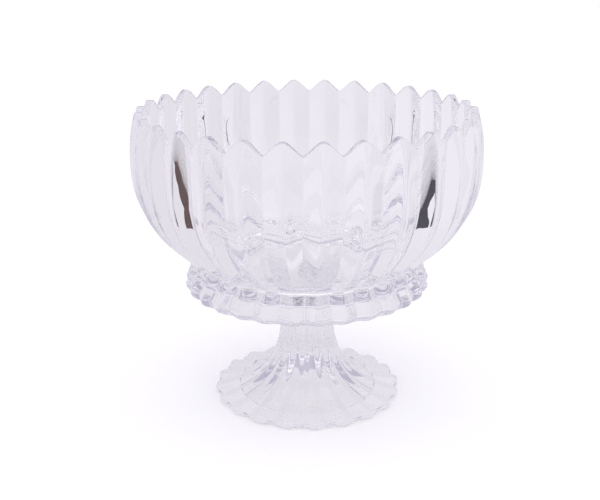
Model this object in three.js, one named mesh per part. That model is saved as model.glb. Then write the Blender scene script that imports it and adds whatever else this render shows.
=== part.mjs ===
// Footed fruit bowl in pale pressed glass, made of three pieces of glass:
// the petalled bowl with its skirt, the lobed pedestal, and the wafer that joins them.
// Millimetres, +Z up. The origin is on the table, under the centre of the foot.

import * as THREE from 'three';
import { ParametricGeometry } from 'three/addons/geometries/ParametricGeometry.js';

// Pedestal: a stem that flares into a lobed foot, hollow underneath
const LOBES = 20;
const FOOT_RADIUS = 68;
const FOOT_EDGE = 6; // height of the foot's edge on a lobe
const LOBE_DEPTH = 3.2; // how deep the groove between two lobes is at the edge
const NECK_RADIUS = 19.3;
const NECK_HEIGHT = 55.7;
const NECK_FLUTE = 1.1; // depth of the same grooves where they run up the stem
const HEAD_RADIUS = 30;
const HEAD_EDGE = 2;
const PEDESTAL_HEIGHT = 90.2;
const HOLLOW_RADIUS = 48;
const HOLLOW_HEIGHT = 30;

// Wafer between the pedestal's head and the underside of the bowl
const WAFER_RADIUS = 26;
const WAFER_THICKNESS = 3;
const WAFER_BULGE = 0.6; // how far its edge swells between the two flat faces

// Bowl: heights are above the underside of its floor, which stands on the wafer
const PETALS = 30;
const FLOOR_THICKNESS = 5;
const FLOOR_RADIUS = 69.5; // where the wall would meet the floor without its fillet
const FLOOR_FILLET = 4;
const BASIN_HEIGHT = 19; // below this height the inner wall slopes straight to the floor
const BASIN_RADIUS = 79.5;
const WALL = 4; // in the groove between two petals, at the belly
const WAIST_RADIUS = 80.8;
const WAIST_HEIGHT = 13.5;
const WAIST_DIP = 2; // the petals reach this much lower in the grooves, over the skirt's arches
const WAIST_FLUTE = 2.5;
const BELLY_RADIUS = 120.8;
const BELLY_HEIGHT = 86.5;
const BELLY_FLUTE = 5;
const RIM_HEIGHT = 118.5;
const RIM_FLUTE = 2.5;
const RIM_SCALLOP = 8.5; // from a petal's tip down to the notch beside it
const LIP_RADIUS = 116.2;
const LIP_WIDTH = 5.5;
const LIP_FALL = 0.3; // the lip slopes down this much towards the outside
const LIP_EDGE = 1.2; // rounding of its inner edge

// Skirt: the fluted ring that hangs below the bowl's floor, with an arch for each petal
const SKIRT_DEPTH = 9.5;
const SKIRT_RADIUS = 86.8;
const SKIRT_FLUTE = 3;
const SKIRT_FOOT_FLUTE = 2.1; // the same grooves on its bottom edge
const SKIRT_ROUND = 6; // its outer edge rolls in over this height
const SKIRT_FOOT_RADIUS = 80.5;
const SKIRT_INNER_RADIUS = 75.5;
const RECESS_RADIUS = 71.5; // of the hollow inside the skirt, at the bowl's underside
const RECESS_FILLET = 2;

const CREST_SHARE = 0.12; // how much of a petal's half width its round crest takes up

// Powers that bend the petals' upright outline: below the belly it is nearly a circle
const LOWER_POWER = 2.5;
const UPPER_POWER = 2.2;

const SEGMENTS = 6; // facets round each petal or lobe

// A groove of the bowl faces the front, and the petal beside it stands over a lobe of the foot.
const FIRST_CREST = -Math.PI / 2 + Math.PI / PETALS;

const { lerp } = THREE.MathUtils;
const point = (radius, height) => new THREE.Vector2(radius, height);

// The cut between two lobes, for t from 0 on a crest to 1 in the groove:
// round over the crest, with a crease along the groove.
function groove(t) {
  return t * t * (2.3 - 1.3 * t);
}

// The cut between two petals: a hyperbola, so that each petal has a narrow round crest
// between two nearly flat sides.
function facet(t) {
  return (Math.hypot(t, CREST_SHARE) - CREST_SHARE) / (Math.hypot(1, CREST_SHARE) - CREST_SHARE);
}

// A quadratic curve from a to c, bent towards b, without its first point.
function bend(a, b, c, steps) {
  return new THREE.QuadraticBezierCurve(a, b, c).getPoints(steps).slice(1);
}

// Turns a half section into one closed body. section(t) lists its points from the pole
// underneath to the pole on top, and t runs from 0 on each crest to 1 in each groove.
function pressedGlass(section, flutes, crestAngle) {
  const stacks = section(0).length - 1;

  function surface(u, v, target) {
    const flute = u * flutes;
    const t = 2 * Math.abs(flute - Math.round(flute));
    const points = section(t);
    const row = Math.min(Math.floor(v * stacks + 1e-6), stacks - 1);
    const { x, y } = points[row].clone().lerp(points[row + 1], v * stacks - row);
    const angle = crestAngle + 2 * Math.PI * u;
    target.set(x * Math.cos(angle), x * Math.sin(angle), y);
  }

  return new ParametricGeometry(surface, flutes * SEGMENTS, stacks);
}

// Moves a crest line into the glass, square to itself, by each point's own depth.
function sink(crest, depths) {
  return crest.map((p, i) => {
    const before = crest[Math.max(i - 1, 0)];
    const after = crest[Math.min(i + 1, crest.length - 1)];
    const along = after.clone().sub(before).normalize();
    return point(p.x - along.y * depths[i], p.y + along.x * depths[i]);
  });
}

// Half section of the pedestal, t of the way from a lobe's crest to its groove.
function pedestalSection(t) {
  const cut = groove(t);
  const hollow = bend(
    point(0, HOLLOW_HEIGHT),
    point(HOLLOW_RADIUS * 0.4, HOLLOW_HEIGHT * 0.6),
    point(HOLLOW_RADIUS, 0),
    4,
  );

  const foot = point(FOOT_RADIUS - 2, 0);
  const edge = point(FOOT_RADIUS - 1, FOOT_EDGE);
  const neck = point(NECK_RADIUS, NECK_HEIGHT);
  const head = point(HEAD_RADIUS, PEDESTAL_HEIGHT - HEAD_EDGE);
  const crest = [
    ...bend(foot, point(FOOT_RADIUS + 1.2, FOOT_EDGE * 0.4), edge, 3),
    ...bend(edge, point(NECK_RADIUS, FOOT_EDGE * 2), neck, 7),
    ...bend(neck, point(NECK_RADIUS, lerp(NECK_HEIGHT, head.y, 0.75)), head, 4),
  ];
  const depths = crest.map((p) => {
    const spread = (p.x - NECK_RADIUS) / (FOOT_RADIUS - NECK_RADIUS);
    const fade = Math.max(0, (p.y - NECK_HEIGHT) / (head.y - NECK_HEIGHT));
    const depth = fade > 0 ? NECK_FLUTE * (1 - fade) : lerp(NECK_FLUTE, LOBE_DEPTH, spread);
    return cut * depth;
  });

  return [
    point(0, HOLLOW_HEIGHT),
    ...hollow,
    point(foot.x - cut * LOBE_DEPTH, 0),
    ...sink(crest, depths),
    point(HEAD_RADIUS, PEDESTAL_HEIGHT),
    point(0, PEDESTAL_HEIGHT),
  ];
}

// Radius of the petals' crest line at a height.
function petalCrest(height) {
  if (height < BELLY_HEIGHT) {
    const share = (BELLY_HEIGHT - height) / (BELLY_HEIGHT - WAIST_HEIGHT);
    return BELLY_RADIUS - (BELLY_RADIUS - WAIST_RADIUS) * share ** LOWER_POWER;
  }
  const share = (height - BELLY_HEIGHT) / (RIM_HEIGHT - LIP_FALL - BELLY_HEIGHT);
  return BELLY_RADIUS - (BELLY_RADIUS - LIP_RADIUS) * share ** UPPER_POWER;
}

// Depth of the grooves between the petals at a height, measured towards the axis.
function petalDepth(height) {
  if (height < BELLY_HEIGHT) {
    const share = Math.max(0, (height - WAIST_HEIGHT) / (BELLY_HEIGHT - WAIST_HEIGHT));
    return lerp(WAIST_FLUTE, BELLY_FLUTE, Math.sin(share * Math.PI / 2));
  }
  const share = (height - BELLY_HEIGHT) / (RIM_HEIGHT - LIP_FALL - BELLY_HEIGHT);
  return lerp(BELLY_FLUTE, RIM_FLUTE, share);
}

// Radius of the smooth inner wall at a height above the basin.
function innerWall(height) {
  const belly = BELLY_RADIUS - BELLY_FLUTE - WALL;
  if (height < BELLY_HEIGHT) {
    const share = (BELLY_HEIGHT - height) / (BELLY_HEIGHT - BASIN_HEIGHT);
    return belly - (belly - BASIN_RADIUS) * share ** LOWER_POWER;
  }
  const share = (height - BELLY_HEIGHT) / (RIM_HEIGHT - BELLY_HEIGHT);
  return belly - (belly - (LIP_RADIUS - LIP_WIDTH)) * share ** UPPER_POWER;
}

// Half section of the bowl with its skirt, t of the way from a petal's crest to its groove.
function bowlSection(t) {
  const cut = facet(t);
  const arch = groove(t);
  const skirtFoot = -SKIRT_DEPTH;
  const waist = WAIST_HEIGHT - WAIST_DIP * arch;
  const tip = RIM_HEIGHT - RIM_SCALLOP * arch;
  const outside = (height) => point(petalCrest(height) - petalDepth(height) * cut, height);
  const inside = (height) => point(innerWall(height), height);

  const skirtEdge = point(SKIRT_FOOT_RADIUS - SKIRT_FOOT_FLUTE * arch, skirtFoot);
  const skirtWidest = point(SKIRT_RADIUS - SKIRT_FLUTE * arch, skirtFoot + SKIRT_ROUND);
  const skirt = [
    ...bend(skirtEdge, point(skirtWidest.x, skirtFoot), skirtWidest, 3),
    ...bend(skirtWidest, point(skirtWidest.x - 2.5, lerp(skirtWidest.y, waist, 0.25)), outside(waist), 2),
  ];

  const petalRows = 8;
  const petals = Array.from({ length: petalRows }, (_, i) => {
    const share = ((i + 1) / petalRows) ** 1.15;
    return outside(lerp(waist, tip - LIP_FALL, share));
  });

  const wallRows = 4;
  const wall = Array.from({ length: wallRows + 1 }, (_, i) => {
    const share = 1 - (1 - i / wallRows) ** 1.3;
    return inside(lerp(tip - LIP_EDGE, BASIN_HEIGHT, share));
  });
  const corner = point(FLOOR_RADIUS, FLOOR_THICKNESS);
  const slope = point(BASIN_RADIUS, BASIN_HEIGHT).sub(corner).setLength(FLOOR_FILLET);
  const slopeFoot = corner.clone().add(slope);
  const floorEdge = point(FLOOR_RADIUS - FLOOR_FILLET, FLOOR_THICKNESS);

  return [
    point(0, 0),
    point(RECESS_RADIUS - RECESS_FILLET, 0),
    point(RECESS_RADIUS, -RECESS_FILLET),
    point(SKIRT_INNER_RADIUS, skirtFoot),
    skirtEdge,
    ...skirt,
    ...petals,
    point(inside(tip).x + LIP_EDGE, tip),
    ...wall,
    slopeFoot,
    ...bend(slopeFoot, corner, floorEdge, 2),
    point(0, FLOOR_THICKNESS),
  ];
}

function glass(name, colour) {
  return new THREE.MeshStandardMaterial({
    name,
    color: colour,
    roughness: 0.04,
    metalness: 0,
    transparent: true,
    opacity: 0.35,
  });
}

function pedestal() {
  const geometry = pressedGlass(pedestalSection, LOBES, FIRST_CREST);
  const mesh = new THREE.Mesh(geometry, glass('pressed_glass', 0xd9d5e2));
  mesh.name = 'pedestal';
  return mesh;
}

function wafer() {
  const flat = WAFER_RADIUS - WAFER_BULGE;
  const profile = [
    point(0, 0),
    point(flat, 0),
    point(WAFER_RADIUS, WAFER_THICKNESS / 2),
    point(flat, WAFER_THICKNESS),
    point(0, WAFER_THICKNESS),
  ];
  const geometry = new THREE.LatheGeometry(profile, 48);
  geometry.rotateX(Math.PI / 2);
  const mesh = new THREE.Mesh(geometry, glass('joining_glass', 0xe2dfea));
  mesh.name = 'joining_wafer';
  mesh.position.z = PEDESTAL_HEIGHT;
  return mesh;
}

function bowl() {
  const geometry = pressedGlass(bowlSection, PETALS, FIRST_CREST);
  const mesh = new THREE.Mesh(geometry, glass('pressed_glass', 0xd9d5e2));
  mesh.name = 'bowl';
  mesh.position.z = PEDESTAL_HEIGHT + WAFER_THICKNESS;
  return mesh;
}

const fruitBowl = new THREE.Group();
fruitBowl.name = 'footed_fruit_bowl';
fruitBowl.add(pedestal(), wafer(), bowl());

export default fruitBowl;
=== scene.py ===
"""A footed fruit bowl of pale pressed glass on a white table.

The bowl, the pedestal and the wafer between them are each one closed surface, worked out
from the sizes in the sidebar's panel. Lengths are metres, +Z is up, and -Y is the front.
"""
import math

import bpy
import numpy as np
from mathutils import Matrix


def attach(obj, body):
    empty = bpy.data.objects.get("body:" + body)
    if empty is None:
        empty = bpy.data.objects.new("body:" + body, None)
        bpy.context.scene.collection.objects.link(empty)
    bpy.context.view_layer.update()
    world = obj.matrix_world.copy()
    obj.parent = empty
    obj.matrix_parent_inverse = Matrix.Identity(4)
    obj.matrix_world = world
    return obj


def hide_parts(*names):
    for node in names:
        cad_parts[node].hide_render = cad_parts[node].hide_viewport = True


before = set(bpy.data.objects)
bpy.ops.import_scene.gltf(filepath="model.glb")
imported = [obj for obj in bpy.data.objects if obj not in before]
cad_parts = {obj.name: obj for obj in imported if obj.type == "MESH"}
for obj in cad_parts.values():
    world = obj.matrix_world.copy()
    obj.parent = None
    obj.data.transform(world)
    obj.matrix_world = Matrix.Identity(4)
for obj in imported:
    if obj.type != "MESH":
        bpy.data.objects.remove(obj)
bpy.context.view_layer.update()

bl_info = {
    "name": "Footed Fruit Bowl",
    "version": (1, 0, 0),
    "blender": (4, 5, 0),
    "location": "3D View > Sidebar > Fruit Bowl",
    "description": "Builds a petalled fruit bowl of pressed glass on its lobed pedestal",
    "category": "Add Mesh",
}

MM = 0.001

# How fast the bowl's wall draws in, as powers of the distance from the belly.
POWER_BELOW_BELLY = 2.5
POWER_ABOVE_BELLY = 2.2
# Above 1, the rows of the petals lie closer together near the waist than near the rim.
ROW_CROWDING = 1.08

# Half the blur at each edge of the tent's zones, in radians.
VEIL_SIDE_BLUR = 0.1
VEIL_EDGE_BLUR = 0.05
FRONT_SIDE_BLUR = 0.17
FRONT_FOOT_BLUR = 0.035
ABOVE_BLUR = 0.06

LOBE_STRIPS = 10
WAFER_COLUMNS = 96

TABLE_REACH = 3
BOUNCES = 32

# The camera, fitted to the petals of the rim. It stands in front of the bowl and looks down.
LENS_MM = 60.26
SENSOR_MM = 36
NEAREST = 0.01
CAMERA_PLACE = (0.0124, -0.6789, 0.3373)
CAMERA_TURN = math.radians(1.46)
CAMERA_DOWN = math.radians(18.65)
CAMERA_ROLL = math.radians(-0.22)


def length(name, millimetres, description):
    """A property for a length, with its default in millimetres."""
    return bpy.props.FloatProperty(
        name=name, description=description, default=millimetres * MM, unit="LENGTH", precision=4
    )


def angle(name, degrees, description):
    """A property for an angle, with its default in degrees."""
    return bpy.props.FloatProperty(
        name=name, description=description, default=math.radians(degrees), unit="ROTATION"
    )


def linear(code):
    """The linear colour of an sRGB code such as e8e4ef, with an alpha of 1."""
    srgb = np.array([int(code[i : i + 2], 16) for i in (0, 2, 4)]) / 255
    low, high = srgb / 12.92, ((srgb + 0.055) / 1.055) ** 2.4
    return (*np.where(srgb <= 0.04045, low, high).tolist(), 1.0)


def colour(name, code, description):
    """A property for a colour, with its default as an sRGB code."""
    return bpy.props.FloatVectorProperty(
        name=name, description=description, default=linear(code), size=4, min=0, max=1,
        subtype="COLOR",
    )


class BowlSizes(bpy.types.PropertyGroup):
    """Sizes of the bowl. Heights are above the underside of its floor."""

    petals: bpy.props.IntProperty(
        name="Petals", description="Petals round the bowl, and arches round its skirt",
        default=30, min=8, max=60,
    )
    floor_thickness: length("Floor", 5, "Thickness of the floor")
    floor_radius: length("Floor radius", 69.5, "Where the wall would meet the floor")
    floor_fillet: length("Floor fillet", 4, "Size of the curve from wall to floor")
    basin_height: length("Basin height", 19, "Below this the inner wall slopes straight")
    basin_radius: length("Basin radius", 79.5, "Inner radius at that height")
    wall: length("Wall", 4, "Thickness of the glass in a groove at the belly")
    waist_radius: length("Waist radius", 80.8, "Radius of the crests where bowl and skirt meet")
    waist_height: length("Waist height", 13.5, "Height at which bowl and skirt meet")
    waist_dip: length("Waist dip", 2, "How much lower they meet in the grooves")
    waist_flute: length("Waist flute", 2.5, "Depth of the grooves at the waist")
    belly_radius: length("Belly radius", 120.8, "Largest radius, on the petals' crests")
    belly_height: length("Belly height", 86.5, "Height of the largest radius")
    belly_flute: length("Belly flute", 5, "Depth of the grooves at the belly")
    rim_height: length("Rim height", 118.5, "Height of the petals' tips")
    rim_flute: length("Rim flute", 2.5, "Depth of the grooves at the rim")
    rim_scallop: length("Scallop", 8.5, "From a petal's tip down to the notch beside it")
    lip_radius: length("Lip radius", 116.2, "Radius of the lip's outer edge on a tip")
    lip_width: length("Lip width", 5.5, "Width of the lip on a tip")
    lip_fall: length("Lip fall", 0.3, "How much the lip slopes down towards the outside")
    lip_edge: length("Lip rounding", 1.2, "Rounding of the lip's inner edge")
    lip_outer_edge: length("Lip outer rounding", 0.8, "Rounding of the lip's outer edge")
    skirt_depth: length("Skirt depth", 9.5, "How far the skirt hangs below the floor")
    skirt_radius: length("Skirt radius", 86.8, "Largest radius of the skirt")
    skirt_flute: length("Skirt flute", 3, "Depth of the grooves of the skirt")
    skirt_round: length("Skirt rounding", 6, "Height over which its outer edge rolls in")
    skirt_foot: length("Skirt foot", 80.5, "Outer radius of its bottom edge")
    skirt_foot_flute: length("Skirt foot flute", 2.1, "Depth of the grooves on that edge")
    skirt_shoulder: length("Skirt shoulder", 2.5, "How far its side leans in on the way up")
    skirt_inner: length("Skirt inner", 75.5, "Inner radius of its bottom edge")
    skirt_inner_edge: length("Skirt inner rounding", 1, "Rounding of that edge's inner side")
    recess_radius: length("Recess radius", 71.5, "Radius of the hollow inside the skirt")
    recess_fillet: length("Recess fillet", 2, "Rounding between the hollow and the floor")


class PedestalSizes(bpy.types.PropertyGroup):
    """Sizes of the pedestal. Heights are above the table."""

    lobes: bpy.props.IntProperty(
        name="Lobes", description="Lobes round the foot", default=20, min=6, max=60
    )
    foot_radius: length("Foot radius", 68, "Radius of the foot on its lobes")
    foot_edge: length("Foot edge", 6, "Height of the foot's edge on a lobe")
    foot_edge_low: length("Edge at the table", 2, "How far the edge draws in at the table")
    foot_edge_high: length("Edge on top", 1, "How far the edge draws in at its top")
    foot_edge_swell: length("Edge swell", 1.2, "How far the edge is pulled out between them")
    lobe_depth: length("Lobe depth", 3.2, "Depth of the groove between two lobes")
    neck_radius: length("Neck radius", 19.3, "Radius of the stem where it is thinnest")
    neck_height: length("Neck height", 55.7, "Height of the thinnest place")
    neck_flute: length("Neck flute", 1.1, "Depth of the grooves on the stem")
    head_radius: length("Head radius", 30, "Radius of the flat top that holds the bowl")
    head_edge: length("Head edge", 2, "Height of the edge of that top")
    head_round: length("Head rounding", 0.8, "Rounding of that edge")
    height: length("Height", 90.2, "Height of the pedestal")
    hollow_radius: length("Hollow radius", 48, "Radius of the hollow under the foot")
    hollow_height: length("Hollow height", 30, "Height of the hollow at the centre")
    hollow_round: length("Hollow rounding", 0.6, "Rounding of the hollow's edge at the table")


class WaferSizes(bpy.types.PropertyGroup):
    """Sizes of the wafer of glass that joins bowl and pedestal."""

    radius: length("Radius", 26, "Radius at its swollen edge")
    thickness: length("Thickness", 3, "Distance between pedestal and bowl")
    bulge: length("Bulge", 0.6, "How far its edge swells")
    melt: length("Melt", 0.02, "How far it has sunk into the glass on each side")


class GlassLook(bpy.types.PropertyGroup):
    """How the glass looks."""

    tint: colour("Tint", "ddd8e6", "Colour that white light keeps on its way through")
    density: bpy.props.FloatProperty(
        name="Density", description="How strongly a metre of glass takes up the light",
        default=2.0, min=0,
    )
    index: bpy.props.FloatProperty(
        name="Index", description="Index of refraction of the glass", default=1.52, min=1, max=2
    )
    roughness: bpy.props.FloatProperty(
        name="Roughness", description="Roughness of the fire-polished skin",
        default=0.0, min=0, max=1, subtype="FACTOR",
    )
    ripple: length("Ripple", 0.03, "Height of the slow waves that the mould leaves")
    ripple_length: length("Ripple length", 12, "Distance from one of these waves to the next")


class StudioLook(bpy.types.PropertyGroup):
    """The table, the tent of light round it and the two dark cards.

    Angles are seen from the bowl: a turn is counted from the back to either side, and a
    height is counted from the horizontal."""

    table_colour: colour("Table", "f4f4f4", "Colour of the table")
    table_glow: bpy.props.FloatProperty(
        name="Table glow", description="Light added to the table where the camera sees it",
        default=0.31, min=0,
    )
    # For the glass the table is mostly a painted glow in the tent's colour, painted dimmer on its
    # left and brighter on its right.
    table_painted_glow: bpy.props.FloatProperty(
        name="Tent in the table", description="How much of the tent's colour the glass sees in it",
        default=0.85, min=0, max=1, subtype="FACTOR",
    )
    fall: bpy.props.FloatProperty(
        name="Light fall",
        description="How much dimmer the table's left is for the glass, and brighter its right",
        default=0.07, min=0, max=1, subtype="FACTOR",
    )
    fall_width: length("Fall width", 350, "Distance from the axis at which the fall is complete")
    tent: colour("Tent", "e9e6ee", "Colour of the tent of light, as the glass sees it")
    bright: bpy.props.FloatProperty(
        name="Bright", description="How much brighter the tent is above and behind the camera",
        default=1.4, min=0,
    )
    bright_above: angle("Bright above", 52, "From this height on the tent is brighter all round")
    bright_turn: angle("Bright turn", 135, "So far from the back the brighter front begins")
    veil_turn: angle("Veil turn", 60, "How far the grey veil at the back reaches to either side")
    veil_low: angle("Veil low", 3, "Lower edge of the veil, above the horizontal")
    veil_high: angle("Veil high", 50, "Upper edge of the veil, above the horizontal")
    veil_shade: colour("Veil shade", "bcb6ca", "Colour of the veil")
    card_left: colour("Left card", "5a3d33", "Colour of the dark card on the left")
    card_right: colour("Right card", "2c2c38", "Colour of the dark card on the right")
    card_side: length("Card side", 280, "Distance from the axis to the card on either side")
    card_front: length("Card front", -115, "Front edge of the cards, along the table")
    card_top_back: length("Card top", -66, "Back edge of the cards at their top")
    card_foot_back: length("Card foot", -15, "Back edge of the cards at the table")
    card_height: length("Card height", 350, "Height of the cards")
    card_slant: length("Card slant", 70, "Up to this height their back edge slants")


# Curves of a section. A point of a section is one complex number: its real part is the
# distance from the axis and its imaginary part the height, so that a turn by a quarter is a
# product with 1j. Each point is an array with one value for each column round the axis. The
# whole number that a curve is given last is its number of steps.


def line(a, b, steps):
    """Points from a to b without a: a + (b - a) s, with s crowded towards both ends."""
    share = (1 - np.cos(np.linspace(0, np.pi, steps + 1)[1:, None])) / 2
    return a + (b - a) * share


def bend(a, b, c, steps):
    """Quadratic curve from a to c towards b, without a: (1-s)(1-s) a + 2s(1-s) b + s s c."""
    s = np.linspace(0, 1, steps + 1)[1:, None]
    return (1 - s) ** 2 * a + 2 * s * (1 - s) * b + s**2 * c


def round_off(before, corner, after, size, steps=4):
    """The corner cut back by size on both sides, and the quadratic curve between the cuts."""
    start = corner + (before - corner) / np.abs(before - corner) * size
    end = corner + (after - corner) / np.abs(after - corner) * size
    return np.vstack([start, bend(start, corner, end, steps)])


def sink(curve, depth):
    """A curve moved into the glass on its left, square to itself, by depth at each point."""
    along = np.gradient(curve, axis=0)
    return curve + 1j * along / np.abs(along) * depth


def columns(flutes, first_crest, shares):
    """Angles of the columns, and how far each is from its crest towards the groove.

    Each flute has columns at the same shares of the way from its crest to either groove:
    a = crest + share pi / flutes, with share from -1 to 1. A groove gets one column."""
    across = np.concatenate([-shares[-2:0:-1], shares])
    middles = first_crest + 2 * np.pi / flutes * np.arange(flutes)
    angles = (middles[:, None] + np.pi / flutes * across).ravel()
    return angles, np.tile(np.abs(across), flutes)


def turned_body(name, section, angles):
    """A closed mesh: each row of the section is placed round the axis at its columns' angles.

    A point at distance r and height z becomes (r cos a, r sin a, z). The first and last rows
    are the poles, where all the columns meet in one vertex."""
    rows, count = section.shape
    ring = section[1:-1]
    x, y = ring.real * np.cos(angles), ring.real * np.sin(angles)
    sides = np.stack([x, y, ring.imag], axis=-1).reshape(-1, 3)
    poles = np.array([[0, 0, section[0, 0].imag], [0, 0, section[-1, 0].imag]])
    points = np.vstack([sides, poles])

    here = np.arange(count)
    there = np.roll(here, -1)
    base = count * np.arange(rows - 3)[:, None]
    quads = np.stack([base + here, base + there, base + count + there, base + count + here], -1)
    last = count * (rows - 3)
    below = np.stack([np.full(count, len(sides)), there, here], axis=-1)
    above = np.stack([last + here, last + there, np.full(count, len(sides) + 1)], axis=-1)
    corners = np.concatenate([quads.ravel(), below.ravel(), above.ravel()])
    sizes = np.concatenate([np.full(quads.size // 4, 4), np.full(2 * count, 3)])

    mesh = bpy.data.meshes.new(name)
    mesh.vertices.add(len(points))
    mesh.vertices.foreach_set("co", points.ravel())
    mesh.loops.add(len(corners))
    mesh.loops.foreach_set("vertex_index", corners.astype(np.int32))
    mesh.polygons.add(len(sizes))
    mesh.polygons.foreach_set("loop_start", (np.cumsum(sizes) - sizes).astype(np.int32))
    mesh.polygons.foreach_set("use_smooth", np.ones(len(sizes), dtype=bool))
    mesh.update(calc_edges=True)
    mesh.validate()
    body = bpy.data.objects.new(name, mesh)
    bpy.context.collection.objects.link(body)
    return body


def finish_piece(piece, node, material):
    """Hands a finished piece its material and its place in the frame."""
    piece.data.materials.append(material)
    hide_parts(node)
    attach(piece, "root")


# Shapes


def groove(t):
    """Rounded cut between two lobes: t t (2.3 - 1.3 t), 0 on a crest and 1 in the groove."""
    return t * t * (2.3 - 1.3 * t)


def facet(t):
    """Cut between two petals: the hyperbola sqrt(t t + soft soft), moved and scaled to run
    from 0 on a crest to 1 in the groove, so that each petal has a narrow round crest between
    two nearly flat sides. A larger soft makes the crest rounder."""
    soft = 0.12
    return (np.sqrt(t * t + soft * soft) - soft) / (math.sqrt(1 + soft * soft) - soft)


def drawn_in(height, belly, belly_height, low_radius, low_height, high_radius, high_height):
    """Radius of a wall that is widest at the belly and draws in to a radius below and one
    above: belly - (belly - low_radius) d^2.5 below the belly, where d is the share of the way
    down, and belly - (belly - high_radius) u^2.2 above it, where u is the share of the way up."""
    below = (belly_height - height) / (belly_height - low_height)
    above = (height - belly_height) / (high_height - belly_height)
    low = (belly - low_radius) * np.maximum(below, 0) ** POWER_BELOW_BELLY
    high = (belly - high_radius) * np.maximum(above, 0) ** POWER_ABOVE_BELLY
    return belly - low - high


def petal_crest(b, height):
    """Radius of the petals' crests, which draw in from the belly to the waist and the lip."""
    return drawn_in(height, b.belly_radius, b.belly_height, b.waist_radius, b.waist_height,
                    b.lip_radius, b.rim_height - b.lip_fall)


def petal_depth(b, height):
    """Depth of the grooves: a quarter of a sine from waist to belly, then straight to the rim."""
    low = np.clip((height - b.waist_height) / (b.belly_height - b.waist_height), 0, 1)
    high = (height - b.belly_height) / (b.rim_height - b.lip_fall - b.belly_height)
    rise = b.waist_flute + (b.belly_flute - b.waist_flute) * np.sin(low * np.pi / 2)
    return rise + (b.rim_flute - b.belly_flute) * np.clip(high, 0, 1)


def inner_wall(b, height):
    """Radius of the smooth inside, which draws in from the belly to the basin and the lip."""
    belly = b.belly_radius - b.belly_flute - b.wall
    return drawn_in(height, belly, b.belly_height, b.basin_radius, b.basin_height,
                    b.lip_radius - b.lip_width, b.rim_height)


def bowl_section(b, t):
    """Half section of the bowl from the pole underneath to the pole on top, for columns that
    are t of the way from a crest to a groove.

    The petals are petal_crest less petal_depth times facet(t), and inside them runs the
    smooth inner_wall. Every other edge is its crest's place less its depth times groove(t):
    the rim's tips, the waist, and the skirt, which is two quadratic curves. Straight lines
    with rounded corners close the floor, the lip and the recess."""
    cut = facet(t)
    arch = groove(t)
    zero = 0 * t
    waist = b.waist_height - b.waist_dip * arch
    tip = b.rim_height - b.rim_scallop * arch
    foot = -b.skirt_depth

    def outside(height):
        return petal_crest(b, height) - petal_depth(b, height) * cut + 1j * height

    def inside(height):
        return inner_wall(b, height) + 1j * height

    recess = b.recess_radius + zero
    recess_foot = b.skirt_inner + 1j * foot + zero
    edge = b.skirt_foot - b.skirt_foot_flute * arch + 1j * foot
    widest = b.skirt_radius - b.skirt_flute * arch + 1j * (foot + b.skirt_round)
    under_edge = widest.real + 1j * foot
    # The skirt's side is pulled towards a point a quarter of the way up to the waist.
    shoulder = widest.real - b.skirt_shoulder + 1j * (0.75 * widest.imag + 0.25 * waist)

    ceiling = round_off(zero, recess, recess_foot, b.recess_fillet, 5)
    inner_foot = round_off(ceiling[-1], recess_foot, edge, b.skirt_inner_edge)
    roll = bend(edge, under_edge, widest, 9)
    skirt = bend(widest, shoulder, outside(waist), 12)
    share = np.linspace(0, 1, 57)[1:, None] ** ROW_CROWDING
    petals = outside(waist + (tip - b.lip_fall - waist) * share)
    lip = inside(tip)
    wall_top = inside(tip - b.lip_edge)
    outer_lip = round_off(petals[-2], petals[-1], lip, b.lip_outer_edge)
    inner_lip = round_off(outer_lip[-1], lip, wall_top, b.lip_edge, 5)
    share = np.linspace(0, 1, 41)[1:, None]
    wall = inside(tip - b.lip_edge + (b.basin_height - tip + b.lip_edge) * share)
    centre = 1j * b.floor_thickness + zero
    corner = round_off(wall[-1], b.floor_radius + centre, centre, b.floor_fillet, 8)

    return np.vstack([
        zero,
        line(zero, ceiling[0], 6),
        ceiling[1:],
        line(ceiling[-1], inner_foot[0], 6),
        inner_foot[1:],
        line(inner_foot[-1], edge, 5),
        roll,
        skirt,
        petals[:-1],
        outer_lip,
        line(outer_lip[-1], inner_lip[0], 3),
        inner_lip[1:],
        wall,
        line(wall[-1], corner[0], 5),
        corner[1:],
        line(corner[-1], centre, 6),
    ])


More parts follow.
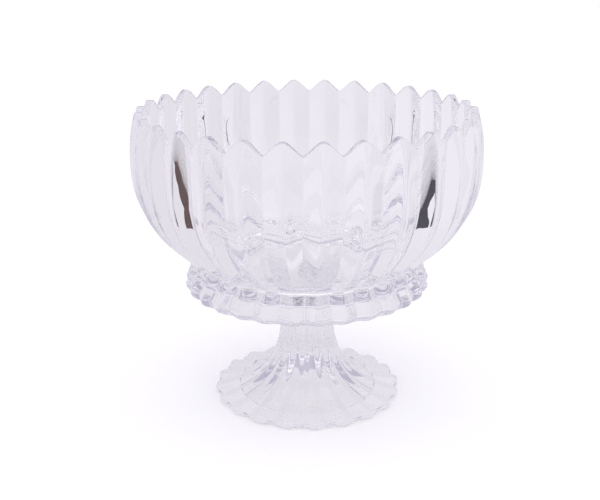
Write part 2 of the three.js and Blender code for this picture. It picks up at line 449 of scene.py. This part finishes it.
def pedestal_section(p, t):
    """Half section of the pedestal, from the top of the hollow underneath to the top, for
    columns that are t of the way from a lobe's crest to a groove.

    The crest is three quadratic curves: the foot's edge, the sweep up to the neck, and the
    neck up to the head. It is sunk by groove(t) times a depth that goes from the lobes' on the
    foot to the stem's at the neck, in step with the radius, and then to nothing at the head."""
    cut = groove(t)
    zero = 0 * t
    top = 1j * p.hollow_height + zero
    brink = p.hollow_radius + zero
    foot = p.foot_radius - p.foot_edge_low + zero
    edge = p.foot_radius - p.foot_edge_high + 1j * p.foot_edge + zero
    neck = p.neck_radius + 1j * p.neck_height + zero
    head = p.head_radius + 1j * (p.height - p.head_edge) + zero
    head_brink = p.head_radius + 1j * p.height + zero
    centre = 1j * p.height + zero

    # Each curve's middle point, towards which it is pulled.
    dome = 0.4 * p.hollow_radius + 0.6j * p.hollow_height + zero
    swell = p.foot_radius + p.foot_edge_swell + 0.4j * p.foot_edge
    sweep = p.neck_radius + 2j * p.foot_edge + zero
    throat = p.neck_radius + 1j * (0.25 * neck.imag + 0.75 * head.imag)

    hollow = bend(top, dome, brink, 24)
    crest = np.vstack([
        foot,
        bend(foot, swell, edge, 7),
        bend(edge, sweep, neck, 40),
        bend(neck, throat, head, 18),
    ])
    spread = (crest.real - p.neck_radius) / (p.foot_radius - p.neck_radius)
    fade = np.clip((crest.imag - p.neck_height) / (head.imag - p.neck_height), 0, 1)
    spread = np.where(crest.imag > p.neck_height, 0, spread)
    depth = (p.neck_flute + (p.lobe_depth - p.neck_flute) * spread) * (1 - fade)
    outside = sink(crest, cut * depth)
    outside[0] = foot - cut * p.lobe_depth

    rim = round_off(outside[-1], head_brink, centre, p.head_round)
    ring = round_off(hollow[-2], hollow[-1], outside[0], p.hollow_round)
    return np.vstack([
        top,
        hollow[:-1],
        ring,
        line(ring[-1], outside[0], 4),
        outside[1:],
        rim,
        line(rim[-1], centre, 6),
    ])


def wafer_section(w, base, count):
    """Half section of the wafer, for a number of columns: a flat face underneath, an edge that
    swells out in a quadratic curve, and a flat face on top."""
    zero = np.zeros(count)
    low = 1j * (base - w.melt) + zero
    high = 1j * (base + w.thickness + w.melt) + zero
    flat = w.radius - w.bulge
    swell = w.radius + w.bulge + (low + high) / 2
    return np.vstack([
        low,
        line(low, flat + low, 8),
        bend(flat + low, swell, flat + high, 10),
        line(flat + high, high, 8),
    ])


def first_crest(bowl):
    """A groove of the bowl faces the front. The petal beside it stands over a lobe."""
    return -np.pi / 2 + np.pi / bowl.petals


# Materials


def add_node(tree, kind, inputs=None, **settings):
    """Adds a node, sets its settings, and sets or links its inputs."""
    made = tree.nodes.new(kind)
    for key, value in settings.items():
        setattr(made, key, value)
    for key, value in (inputs or {}).items():
        if isinstance(value, bpy.types.NodeSocket):
            tree.links.new(value, made.inputs[key])
        else:
            made.inputs[key].default_value = value
    return made


def pressed_glass(name, look):
    """Soda-lime glass with a lilac tint, pressed in an iron mould and fire-polished.

    The flame leaves a skin without grain, so the gloss is sharp. The mould, colder than the
    glass, leaves slow waves about 12 mm long and a few hundredths of a millimetre high. The
    tint lies in the glass and not on its skin, so thick places are darker than thin ones."""
    material = bpy.data.materials.new(name)
    material.use_nodes = True
    tree = material.node_tree
    tree.nodes.clear()
    place = add_node(tree, "ShaderNodeTexCoord").outputs["Object"]
    waves = add_node(tree, "ShaderNodeTexNoise", {
        "Vector": place, "Scale": 1 / look.ripple_length, "Detail": 1.0, "Roughness": 0.4})
    bump = add_node(tree, "ShaderNodeBump",
                    {"Height": waves.outputs["Fac"], "Strength": 1.0, "Distance": look.ripple})
    skin = add_node(tree, "ShaderNodeBsdfPrincipled", {
        "Base Color": (1, 1, 1, 1),
        "Roughness": look.roughness,
        "IOR": look.index,
        "Transmission Weight": 1.0,
        "Normal": bump.outputs["Normal"],
    })
    body = add_node(tree, "ShaderNodeVolumeAbsorption",
                    {"Color": look.tint, "Density": look.density})
    add_node(tree, "ShaderNodeOutputMaterial",
             {"Surface": skin.outputs["BSDF"], "Volume": body.outputs["Volume"]})
    return material


def shared_glass(context):
    """The glass of both pressings, made once."""
    name = "pressed_soda_lime_glass"
    return bpy.data.materials.get(name) or pressed_glass(name, context.scene.bowl_glass)


# Operators


class FRUITBOWL_OT_bowl(bpy.types.Operator):
    """Makes the petalled bowl with its scalloped rim and its skirt"""

    bl_idname = "fruit_bowl.bowl"
    bl_label = "Bowl"

    def execute(self, context):
        b = context.scene.bowl_sizes
        # The columns crowd at the crests and the grooves, where a petal turns most.
        shares = np.array([0, 0.06, 0.15, 0.35, 0.6, 0.85, 0.95, 1])
        angles, t = columns(b.petals, first_crest(b), shares)
        floor = context.scene.bowl_pedestal.height + context.scene.bowl_wafer.thickness
        piece = turned_body("petalled_bowl", bowl_section(b, t) + 1j * floor, angles)
        finish_piece(piece, "bowl", shared_glass(context))
        return {"FINISHED"}


class FRUITBOWL_OT_pedestal(bpy.types.Operator):
    """Makes the stem and the lobed foot, hollow underneath"""

    bl_idname = "fruit_bowl.pedestal"
    bl_label = "Pedestal"

    def execute(self, context):
        p = context.scene.bowl_pedestal
        shares = np.linspace(0, 1, LOBE_STRIPS + 1)
        angles, t = columns(p.lobes, first_crest(context.scene.bowl_sizes), shares)
        piece = turned_body("lobed_pedestal", pedestal_section(p, t), angles)
        finish_piece(piece, "pedestal", shared_glass(context))
        return {"FINISHED"}


class FRUITBOWL_OT_wafer(bpy.types.Operator):
    """Makes the wafer of glass between pedestal and bowl"""

    bl_idname = "fruit_bowl.wafer"
    bl_label = "Joining wafer"

    def execute(self, context):
        w = context.scene.bowl_wafer
        base = context.scene.bowl_pedestal.height
        angles = np.linspace(0, 2 * np.pi, WAFER_COLUMNS, endpoint=False)
        piece = turned_body("glass_wafer", wafer_section(w, base, WAFER_COLUMNS), angles)
        finish_piece(piece, "joining_wafer",
                     pressed_glass("joining_soda_lime_glass", context.scene.bowl_glass))
        return {"FINISHED"}


def studio_world(look):
    """The tent of light. The camera sees it white. The glass and the table see its colour,
    brighter above and on the front's side, with a grey veil at the back.

    A zone is the product of its edges, each a ramp from 0 to 1 over the edge's blur."""
    world = bpy.data.worlds.new("light_tent")
    world.use_nodes = True
    tree = world.node_tree
    tree.nodes.clear()
    path = add_node(tree, "ShaderNodeLightPath").outputs
    toward = add_node(tree, "ShaderNodeTexCoord").outputs["Generated"]
    x, y, z = add_node(tree, "ShaderNodeSeparateXYZ", {0: toward}).outputs
    turn = add_node(tree, "ShaderNodeMath", {0: x, 1: y}, operation="ARCTAN2").outputs[0]
    turn = add_node(tree, "ShaderNodeMath", {0: turn}, operation="ABSOLUTE").outputs[0]
    rise = add_node(tree, "ShaderNodeMath", {0: z}, operation="ARCSINE").outputs[0]

    # Each edge is what is compared, where the edge lies, and half its blur: positive if the
    # zone lies above the edge and negative if it lies below.
    zones = (
        (
            (turn, look.veil_turn, -VEIL_SIDE_BLUR),
            (rise, look.veil_low, VEIL_EDGE_BLUR),
            (rise, look.veil_high, -VEIL_EDGE_BLUR),
        ),
        ((turn, look.bright_turn, FRONT_SIDE_BLUR), (rise, 0, FRONT_FOOT_BLUR)),
        ((rise, look.bright_above, ABOVE_BLUR),),
    )
    shares = []
    for edges in zones:
        share = 1.0
        for value, edge, blur in edges:
            step = add_node(tree, "ShaderNodeMapRange", {
                "Value": value, "From Min": edge - blur, "From Max": edge + blur})
            share = add_node(tree, "ShaderNodeMath", {0: share, 1: step.outputs["Result"]},
                             operation="MULTIPLY").outputs[0]
        shares.append(share)
    veil, front, above = shares
    lit = add_node(tree, "ShaderNodeMath", {0: front, 1: above}, operation="MAXIMUM").outputs[0]
    lit = add_node(tree, "ShaderNodeMath", {0: lit, 1: look.bright - 1, 2: 1.0},
                   operation="MULTIPLY_ADD").outputs[0]
    tent = add_node(tree, "ShaderNodeVectorMath", {0: look.tent[:3], "Scale": lit},
                    operation="SCALE").outputs["Vector"]
    # A mix of colours has its factor at 0, its two colours at 6 and 7 and its result at 2.
    seen = add_node(tree, "ShaderNodeMix", {0: veil, 6: tent, 7: look.veil_shade},
                    data_type="RGBA").outputs[2]
    inside = add_node(tree, "ShaderNodeBackground", {"Color": seen})
    white = add_node(tree, "ShaderNodeBackground", {"Color": (1, 1, 1, 1)})
    mix = add_node(tree, "ShaderNodeMixShader", {
        0: path["Is Camera Ray"], 1: inside.outputs[0], 2: white.outputs[0]})
    add_node(tree, "ShaderNodeOutputWorld", {"Surface": mix.outputs[0]})
    return world


def table_paint(look):
    """White lacquer, sprayed on the table and rubbed down matt, so that it scatters the light
    evenly. To the camera it is lit up to white, so that only the shadow shows. The glass sees
    it mostly as a painted glow in the tent's colour, whose painted light is a little darker
    towards the left."""
    material = bpy.data.materials.new("white_table_lacquer")
    material.use_nodes = True
    tree = material.node_tree
    tree.nodes.clear()
    path = add_node(tree, "ShaderNodeLightPath").outputs
    glass = add_node(tree, "ShaderNodeMath", {
        0: path["Is Glossy Ray"], 1: path["Is Transmission Ray"]}, operation="MAXIMUM")
    paint = add_node(tree, "ShaderNodeBsdfDiffuse", {"Color": look.table_colour}).outputs[0]
    glow = add_node(tree, "ShaderNodeEmission",
                    {"Color": (1, 1, 1, 1), "Strength": look.table_glow}).outputs[0]
    place = add_node(tree, "ShaderNodeTexCoord").outputs["Object"]
    across = add_node(tree, "ShaderNodeSeparateXYZ", {0: place}).outputs["X"]
    # Painted light: for the glass the table glows in the tent's colour, a little darker towards
    # the left.
    fall = add_node(tree, "ShaderNodeMapRange", {
        "Value": across, "From Min": -look.fall_width, "From Max": look.fall_width,
        "To Min": 1 - look.fall, "To Max": 1 + look.fall})
    soft = add_node(tree, "ShaderNodeEmission",
                    {"Color": look.tent, "Strength": fall.outputs["Result"]}).outputs[0]
    lit = add_node(tree, "ShaderNodeAddShader", {0: paint, 1: glow}).outputs[0]
    share = add_node(tree, "ShaderNodeMath", {0: glass.outputs[0], 1: look.table_painted_glow},
                     operation="MULTIPLY")
    other = add_node(tree, "ShaderNodeMixShader", {0: share.outputs[0], 1: paint, 2: soft})
    mix = add_node(tree, "ShaderNodeMixShader",
                   {0: path["Is Camera Ray"], 1: other.outputs[0], 2: lit})
    add_node(tree, "ShaderNodeOutputMaterial", {"Surface": mix.outputs[0]})
    return material


def felt(name, shade):
    """Dyed wool felt glued on a card: its fibres scatter the light and don't shine."""
    material = bpy.data.materials.new(name)
    material.use_nodes = True
    shader = material.node_tree.nodes["Principled BSDF"]
    shader.inputs["Base Color"].default_value = shade
    shader.inputs["Roughness"].default_value = 1.0
    shader.inputs["Specular IOR Level"].default_value = 0.0
    return material


def flat_sheet(name, corners, material):
    """Makes one flat sheet of the studio from its corners and hands it back."""
    mesh = bpy.data.meshes.new(name)
    mesh.from_pydata(corners, [], [tuple(range(len(corners)))])
    mesh.materials.append(material)
    sheet = bpy.data.objects.new(name, mesh)
    bpy.context.collection.objects.link(sheet)
    return sheet


class FRUITBOWL_OT_studio(bpy.types.Operator):
    """Makes the table, the tent of light, two dark cards and the camera"""

    bl_idname = "fruit_bowl.studio"
    bl_label = "Studio"

    def execute(self, context):
        scene = context.scene
        look = scene.bowl_studio
        scene.world = studio_world(look)
        ends = ((-1, -1), (1, -1), (1, 1), (-1, 1))
        flat_sheet("table", [(x * TABLE_REACH, y * TABLE_REACH, 0) for x, y in ends],
                   table_paint(look))
        outline = (
            (look.card_front, 0), (look.card_foot_back, 0), (look.card_top_back, look.card_slant),
            (look.card_top_back, look.card_height), (look.card_front, look.card_height),
        )
        cards = (
            ("card_left", -look.card_side, felt("brown_felt", look.card_left)),
            ("card_right", look.card_side, felt("slate_felt", look.card_right)),
        )
        # The glass sees the cards. The camera doesn't, and they cast no direct shadow.
        for name, x, material in cards:
            card = flat_sheet(name, [(x, y, z) for y, z in outline], material)
            card.visible_camera = False
            card.visible_shadow = False

        camera = bpy.data.cameras.new("camera")
        camera.lens = LENS_MM
        camera.sensor_width = SENSOR_MM
        camera.sensor_fit = "HORIZONTAL"
        camera.clip_start = NEAREST
        eye = bpy.data.objects.new("camera", camera)
        eye.matrix_world = (
            Matrix.Translation(CAMERA_PLACE)
            @ Matrix.Rotation(CAMERA_TURN, 4, "Z")
            @ Matrix.Rotation(math.pi / 2 - CAMERA_DOWN, 4, "X")
            @ Matrix.Rotation(CAMERA_ROLL, 4, "Z")
        )
        context.collection.objects.link(eye)
        scene.camera = eye
        scene.view_settings.view_transform = "Standard"
        # Light crosses the glass many times before it comes out.
        scene.cycles.max_bounces = BOUNCES
        scene.cycles.glossy_bounces = BOUNCES
        scene.cycles.transmission_bounces = BOUNCES
        return {"FINISHED"}


class FRUITBOWL_PT_panel(bpy.types.Panel):
    """Lists the sizes, the looks and the operators"""

    bl_idname = "FRUITBOWL_PT_panel"
    bl_label = "Fruit Bowl"
    bl_space_type = "VIEW_3D"
    bl_region_type = "UI"
    bl_category = "Fruit Bowl"

    def draw(self, context):
        for name, _, operator in STEPS:
            box = self.layout.box()
            settings = getattr(context.scene, name)
            for setting in settings.__annotations__:
                box.prop(settings, setting)
            if operator:
                box.operator(operator.bl_idname)


# The settings' name in the scene, their group, and the operator that reads them. The glass
# has no operator of its own, because all the pieces read it.
STEPS = (
    ("bowl_glass", GlassLook, None),
    ("bowl_pedestal", PedestalSizes, FRUITBOWL_OT_pedestal),
    ("bowl_wafer", WaferSizes, FRUITBOWL_OT_wafer),
    ("bowl_sizes", BowlSizes, FRUITBOWL_OT_bowl),
    ("bowl_studio", StudioLook, FRUITBOWL_OT_studio),
)
GROUPS = {name: group for name, group, _ in STEPS}
OPERATORS = [operator for _, _, operator in STEPS if operator]
CLASSES = (*GROUPS.values(), *OPERATORS, FRUITBOWL_PT_panel)


def register():
    """Registers the classes and hangs the settings on the scene."""
    for cls in CLASSES:
        bpy.utils.register_class(cls)
    for name, group in GROUPS.items():
        setattr(bpy.types.Scene, name, bpy.props.PointerProperty(type=group))


def unregister():
    """Takes back what register did."""
    for name in GROUPS:
        delattr(bpy.types.Scene, name)
    for cls in reversed(CLASSES):
        bpy.utils.unregister_class(cls)


def main():
    """Builds the bowl from the foot upwards, then the studio."""
    register()
    bpy.ops.fruit_bowl.pedestal()
    bpy.ops.fruit_bowl.wafer()
    bpy.ops.fruit_bowl.bowl()
    bpy.ops.fruit_bowl.studio()


if __name__ == "__main__":
    main()
